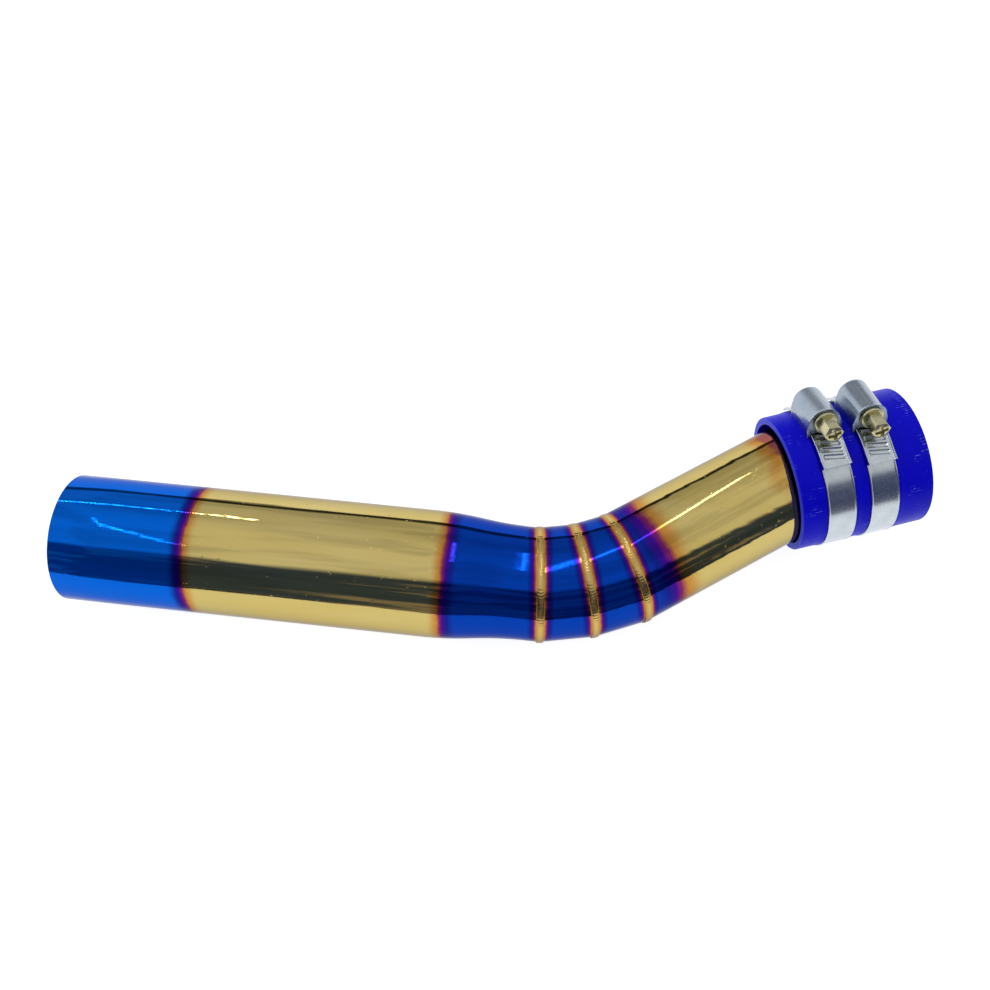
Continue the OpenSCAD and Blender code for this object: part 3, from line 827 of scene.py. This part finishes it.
def makeClamp(number):
    centre = Vector(joints[f"clamp_{number}_swivel"]["pos_m"])
    screwMid = Vector(joints[f"screw_{number}_turn"]["pos_m"])
    up = (screwMid - centre)
    screwZ = up.length / mm
    up.normalize()
    side = up.cross(axis).normalized()
    inClamp = Matrix((tuple(axis), tuple(side), tuple(up))).transposed().to_4x4()
    inClamp = Matrix.Translation(centre) @ inClamp

    def corners(node):
        return [inClamp.inverted() @ vertex.co for vertex in nodes[f"{node}_{number}"].data.vertices]

    furthest = max(vertex.co.dot(side) for vertex in nodes[f"housing_{number}"].data.vertices)
    wallY = furthest / mm - centre.dot(side) / mm
    tailEnd = max(angleOf(p) for p in corners("band_tail") if p.z > 0)
    saddleHalf = max(angleOf(p) for p in corners("saddle"))
    strip = plated(f"bandZinc{number}", (0.40, 0.45, 0.49), (0.60, 0.65, 0.69), 0.15, inClamp, (3.0, 0.06, 0.06), 0.25)
    pressed = plated(f"housingZinc{number}", (0.24, 0.29, 0.36), (0.37, 0.43, 0.50), 0.20, inClamp,
                     (1.3, 0.07, 1.3), 0.2)
    yellow = plated(f"screwZinc{number}", (0.42, 0.38, 0.18), (0.64, 0.62, 0.42), 0.20, inClamp, (0.6, 0.6, 0.6), 0.7)

    # front of the band: from under the housing, down the front and to the bottom
    front = spunPiece(f"bandFront{number}", bandProfile(bandR, 6), 150, -saddleHalf, 180 + saddleHalf)

    def flattenUnderSaddle(p):
        turn = angleOf(p)
        if -60 < turn < saddleHalf:
            radius = math.hypot(p.y, p.z)
            limit = (bandR + bandSizes["thick"]) * mm
            if radius > limit:
                return Vector((p.x, p.y * limit / radius, p.z * limit / radius))
        return p

    shapeVertices(front, flattenUnderSaddle)
    settle(front, inClamp)
    smoothPiece(front, 30)
    dress(front, strip, f"clamp_{number}", "bright_zinc", f"band_{number}")

    # back of the band: from the bottom, up the back, through the housing to the free end
    back = spunPiece(f"bandBack{number}", bandProfile(bandR, 26), 640, 180, 180 + tailEnd)
    climb = (tailR - bandR) * mm
    firstGroove, lastGroove = -8.5, math.floor((tailEnd - 1.2) / grooveTurn) + 0.5

    def climbAndPress(p):
        turn = angleOf(p)
        if turn > tailEnd + 5:
            turn -= 360
        radius = math.hypot(p.y, p.z)
        t = min(max((turn + 75) / 50, 0), 1)
        lift = climb * t * t * (3 - 2 * t)
        between = abs(p.x / mm) <= bandHalf - bandSizes["edge"] + 0.01
        outer = radius / mm > bandR + bandSizes["thick"] - 0.01 and between
        if outer:
            # slanted grooves, square to the worm's thread
            place = turn / grooveTurn - p.x / mm * leadSlope * 1.6 / wormSizes["pitch"]
            if firstGroove < place < lastGroove:
                wave = abs((place + 0.5) % 1 - 0.5) * 2
                depth = 1 - min(max((wave - 0.38) / 0.34, 0), 1)
                edge = min(max((4.2 - abs(p.x / mm)) / 0.6, 0), 1)
                lift -= 0.6 * mm * depth * edge
        if abs(p.x / mm) > bandHalf - 0.6 and radius / mm > bandR + bandSizes["thick"] and turn > 22:
            lift += 0.18 * mm * min(1, (turn - 22) / 6)
        # the cut end springs up a little
        lift += 0.35 * mm * max(0, (turn - tailEnd + 6) / 6) ** 2
        scale = (radius + lift) / radius
        return Vector((p.x, p.y * scale, p.z * scale))

    shapeVertices(back, climbAndPress)
    settle(back, inClamp)
    smoothPiece(back, 30)
    dress(back, strip, None, "bright_zinc", f"band_tail_{number}")
    low, high = (tuple(centre + up * height * bandR * mm) for height in (-0.95, 0.5))
    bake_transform(back)

    # housing: a pressed shell over the worm, with its end walls and a flared front lip
    outerHalf = bandHalf + bandSizes["gap"] + housingSizes["sheet"]
    topR = outerHalf - housingSizes["beside"]
    topZ = screwZ + wormSizes["outer"] + housingSizes["overWorm"] + housingSizes["sheet"] - topR
    shoulder = screwZ - housingSizes["shoulder"]
    bend = [(topR * math.cos(math.radians(a)), topZ + topR * math.sin(math.radians(a))) for a in range(10, 171, 5)]
    foot = [(outerHalf, 20.0), (outerHalf, shoulder - 0.3), (outerHalf - 0.12, shoulder + 0.3)]
    outline = foot + bend + [(-x, z) for x, z in reversed(foot)]
    housing = outlinePiece(f"housing{number}", [(x, -wallY, z) for x, z in outline], True)
    lipLen = housingSizes["lipLength"]
    runs = [(0.5, 1), (lipLen - 0.5, 1), (2 * wallY - lipLen - 1.5, 1), (0.8, 0.985), (0.45, 0.96), (0.25, 0.94)]
    y = -wallY
    for run, shrink in runs:
        y += run
        bpy.ops.mesh.extrude_region_move(TRANSFORM_OT_translate={"value": (0, run * mm, 0)})
        if shrink < 1:
            bpy.ops.transform.resize(value=(shrink, 1, shrink), center_override=(0, y * mm, shoulder * mm))
    closeShell()

    def flareLip(p):
        ahead = 1 - (p.y / mm + wallY) / lipLen
        if ahead <= 0 or p.z / mm < shoulder - 0.5:
            return p
        out = housingSizes["lipOut"] * ahead ** 1.5 * mm
        away = Vector((p.x, 0, p.z - screwZ * mm))
        # two petals with a dip between them over the screw
        petal = 0.45 + 0.55 * min(1, abs(p.x) / (2.2 * mm))
        return p + away.normalized() * out * petal

    shapeVertices(housing, flareLip)
    applyModifier(housing, "BEVEL", width=housingSizes["edgeRound"] * mm, segments=3,
                  limit_method="ANGLE", angle_limit=math.radians(40))
    passR = tailTop + bandSizes["lip"] + bandSizes["gap"]
    inside = outerHalf - housingSizes["sheet"]
    underR = bandR + bandSizes["thick"] - 0.1
    carve(housing, spunPiece("underside", [(-20, 1), (20, 1), (20, underR), (-20, underR)], 180))
    carve(housing, spunPiece("passage", [(-inside, 2), (inside, 2), (inside, passR), (-inside, passR)], 180))

    def rodAlong(name, radius, y0, y1):
        rod = spunPiece(name, [(y0, 0.02), (y0, radius), (y1, radius), (y1, 0.02)], 48)
        # turned so that its length lies along Y, at the height of the worm
        return settle(rod, Matrix.Translation((0, 0, screwZ * mm)) @ Matrix.Rotation(math.pi / 2, 4, "Z"))

    sheet = housingSizes["sheet"]
    carve(housing, rodAlong("wormRoom", wormSizes["outer"] + housingSizes["overWorm"], -wallY + sheet, wallY - sheet))
    carve(housing, rodAlong("neckHole", wormSizes["neck"] + housingSizes["holeFit"], -wallY - 2, -wallY + 3))
    carve(housing, rodAlong("pilotHole", wormSizes["pilot"] + housingSizes["holeFit"], wallY - 3, wallY + 2))
    settle(housing, inClamp)
    smoothPiece(housing, 38)
    dress(housing, pressed, f"clamp_{number}", "blue_zinc", f"housing_{number}")

    # worm screw: thread, core, neck, collar and a hexagon head with a cross recess
    insideY = wallY - sheet - bandSizes["gap"]
    collarY = wallY + bandSizes["gap"]
    core = wormSizes["outer"] - wormSizes["threadDeep"]
    threadLen = 2 * insideY - 2
    turns = threadLen / wormSizes["pitch"]
    crestX, crestR = wormSizes["crestHalf"], wormSizes["outer"]
    rootX, rootR = wormSizes["footHalf"], core - wormSizes["threadSink"]
    ridge = [(-rootX, 0, rootR), (-crestX, 0, crestR), (crestX, 0, crestR), (rootX, 0, rootR)]
    thread = outlinePiece("thread", ridge, True)
    bpy.ops.mesh.select_all(action="SELECT")
    bpy.ops.object.mode_set(mode="OBJECT")
    count = int(turns * wormSizes["threadSteps"])
    applyModifier(thread, "SCREW", axis="X", angle=math.tau * turns, screw_offset=threadLen * mm, steps=count,
                  render_steps=count, use_merge_vertices=False)
    thread.matrix_world = Matrix.Translation((-threadLen / 2 * mm, 0, 0))
    pick(thread)
    bpy.ops.object.transform_apply(location=True, rotation=True, scale=True)
    cornerR = wormSizes["flats"] / math.sqrt(3)
    collarR = cornerR + wormSizes["collarOver"]
    shaftLine = [(-wallY, 0.02), (-wallY, wormSizes["pilot"] - 0.3), (-wallY + 0.3, wormSizes["pilot"]),
                 (-insideY, wormSizes["pilot"]), (-insideY, core), (insideY, core), (insideY, wormSizes["neck"]),
                 (collarY, wormSizes["neck"])]
    shaftLine += arc(collarY + 0.3, collarR - 0.3, 0.3, 180, 90, 4)
    shaftLine += arc(collarY + wormSizes["collarLen"] - 0.5, collarR - 0.5, 0.5, 90, 0, 5)
    shaftLine += [(collarY + wormSizes["collarLen"], 0.02)]
    shaft = spunPiece("shaft", shaftLine, 64)
    headY = collarY + wormSizes["collarLen"]
    top = headY + wormSizes["headLen"]
    clearSelection()
    bpy.ops.mesh.primitive_cylinder_add(vertices=6, radius=cornerR * mm, depth=(wormSizes["headLen"] + 0.4) * mm,
                                        location=(((headY + top) / 2 - 0.2) * mm, 0, 0), rotation=(0, math.pi / 2, 0))
    head = bpy.context.object
    head.name = f"wormScrew{number}"
    bpy.ops.object.transform_apply(location=True, rotation=True, scale=True)
    dome = [(headY - 1, 0.02), (headY - 1, cornerR + 0.4), (top - 1.0, cornerR + 0.4), (top - 0.25, cornerR - 0.9),
            (top, cornerR - 2.0), (top, 0.02)]
    carve(head, spunPiece("dome", dome, 72), "INTERSECT")
    recessWide, recessLong, recessDeep = wormSizes["recess"]
    for turn in (0, 90):
        clearSelection()
        bpy.ops.mesh.primitive_cube_add(size=1, location=((top - recessDeep / 2 + 0.5) * mm, 0, 0),
                                        rotation=(math.radians(turn + 12), 0, 0),
                                        scale=((recessDeep + 1) * mm, recessWide * mm, recessLong * mm))
        bar = bpy.context.object
        bpy.ops.object.transform_apply(location=True, rotation=True, scale=True)
        carve(head, bar)
    applyModifier(head, "BEVEL", width=0.16 * mm, segments=2, limit_method="ANGLE", angle_limit=math.radians(28))
    clearSelection()
    for part in (thread, shaft, head):
        part.select_set(True)
    bpy.context.view_layer.objects.active = head
    bpy.ops.object.join()
    # its own length was drawn along +X; the head belongs on the -Y side
    settle(head, inClamp @ Matrix.Translation((0, 0, screwZ * mm)) @ Matrix.Rotation(-math.pi / 2, 4, "Z"))
    smoothPiece(head, 30)
    dress(head, yellow, f"screw_{number}", "yellow_zinc", f"worm_screw_{number}")

    for node in (f"saddle_{number}", f"saddle_rivets_{number}"):
        kept = nodes[node]
        kept.data.materials.clear()
        kept.data.materials.append(strip)
    print("clamp", number, "made")


makeClamp(1)
makeClamp(2)
